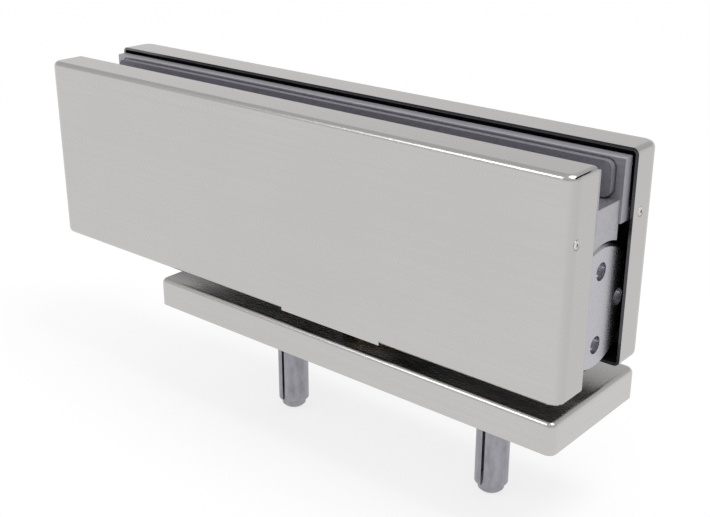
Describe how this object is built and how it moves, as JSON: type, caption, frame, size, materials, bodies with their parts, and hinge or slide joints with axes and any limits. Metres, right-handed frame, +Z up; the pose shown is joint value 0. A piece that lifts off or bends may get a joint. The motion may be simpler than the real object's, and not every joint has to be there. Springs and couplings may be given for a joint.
{
  "type": "hydraulic hinge",
  "caption": "Floor-mounted hydraulic hinge that clamps a glass door's lower corner between folded steel covers and swings it on a fixed spindle.",
  "frame": {"origin": "the spindle axis at the underside of the floor plate, which is the finished floor", "axes": "+Z up along the spindle, +X along the fitting towards its short end, -Y out of the front cover"},
  "size_m": [0.284, 0.0616, 0.1512],
  "materials": {
    "satin_stainless": "satin brushed stainless sheet",
    "stainless_screw": "polished stainless screw",
    "satin_aluminium": "satin anodised aluminium",
    "cast_aluminium": "die-cast aluminium",
    "glass_pad": "matt grey sheet gasket",
    "nitrile_rubber": "black moulded seal",
    "zinc_steel": "zinc-plated steel",
    "ground_steel": "ground hardened steel",
    "spring_steel": "oiled spring wire",
    "brass": "turned brass and bronze"
  },
  "bodies": {
    "floor_base": {"floor_plate": "zinc_steel", "floor_plate_cover": "satin_stainless", "adjusting_screws": "ground_steel", "anchor_bolts": "zinc_steel", "anchor_sleeves": "zinc_steel", "anchor_cones": "zinc_steel", "spindle": "ground_steel", "lower_thrust_washer": "ground_steel"},
    "door_clamp": {"front_cover": "satin_stainless", "rear_cover": "satin_stainless", "cover_screws": "stainless_screw", "front_clamp_bar": "satin_aluminium", "rear_clamp_bar": "satin_aluminium", "clamp_bolts": "zinc_steel", "front_glass_pad": "glass_pad", "rear_glass_pad": "glass_pad", "hydraulic_body": "cast_aluminium", "right_end_cap": "satin_aluminium", "left_end_cap": "satin_aluminium", "cap_seals": "nitrile_rubber", "upper_thrust_washer": "ground_steel", "spindle_seal": "nitrile_rubber", "lower_bush": "brass", "upper_bush": "brass", "spindle_cap": "zinc_steel", "left_spring": "spring_steel", "right_spring": "spring_steel"},
    "piston_unit": {"rack_piston": "ground_steel", "piston_seals": "nitrile_rubber", "check_valves": "brass"},
    "bearing_cage": {"roller_cage": "brass", "bearing_rollers": "ground_steel"},
    "closing_needle": {"closing_valve": "brass"},
    "latching_needle": {"latching_valve": "brass"}
  },
  "joints": [
    {"name": "door_swing", "type": "hinge", "parent": "floor_base", "child": "door_clamp", "pos_m": [0, 0, 0], "axis": [0, 0, 1], "range_deg": [-90, 90], "stiffness_Nm_per_rad": 12},
    {"name": "piston_stroke", "type": "slide", "parent": "door_clamp", "child": "piston_unit", "axis": [1, 0, 0], "range_m": [-0.0143, 0.0143], "deforming": ["left_spring", "right_spring"]},
    {"name": "cage_roll", "type": "hinge", "parent": "floor_base", "child": "bearing_cage", "pos_m": [0, 0, 0.0155], "axis": [0, 0, 1], "range_deg": [-45.5, 45.5]},
    {"name": "closing_valve_turn", "type": "hinge", "parent": "door_clamp", "child": "closing_needle", "pos_m": [0.024, 0, 0.07965], "axis": [0, 1, 0], "range_deg": [0, 270]},
    {"name": "latching_valve_turn", "type": "hinge", "parent": "door_clamp", "child": "latching_needle", "pos_m": [-0.024, 0, 0.07965], "axis": [0, 1, 0], "range_deg": [0, 270]}
  ],
  "couplings": [
    {"joint": "piston_stroke", "follows": "door_swing", "m_per_rad": 0.009},
    {"joint": "cage_roll", "follows": "door_swing", "ratio": 0.5}
  ]
}
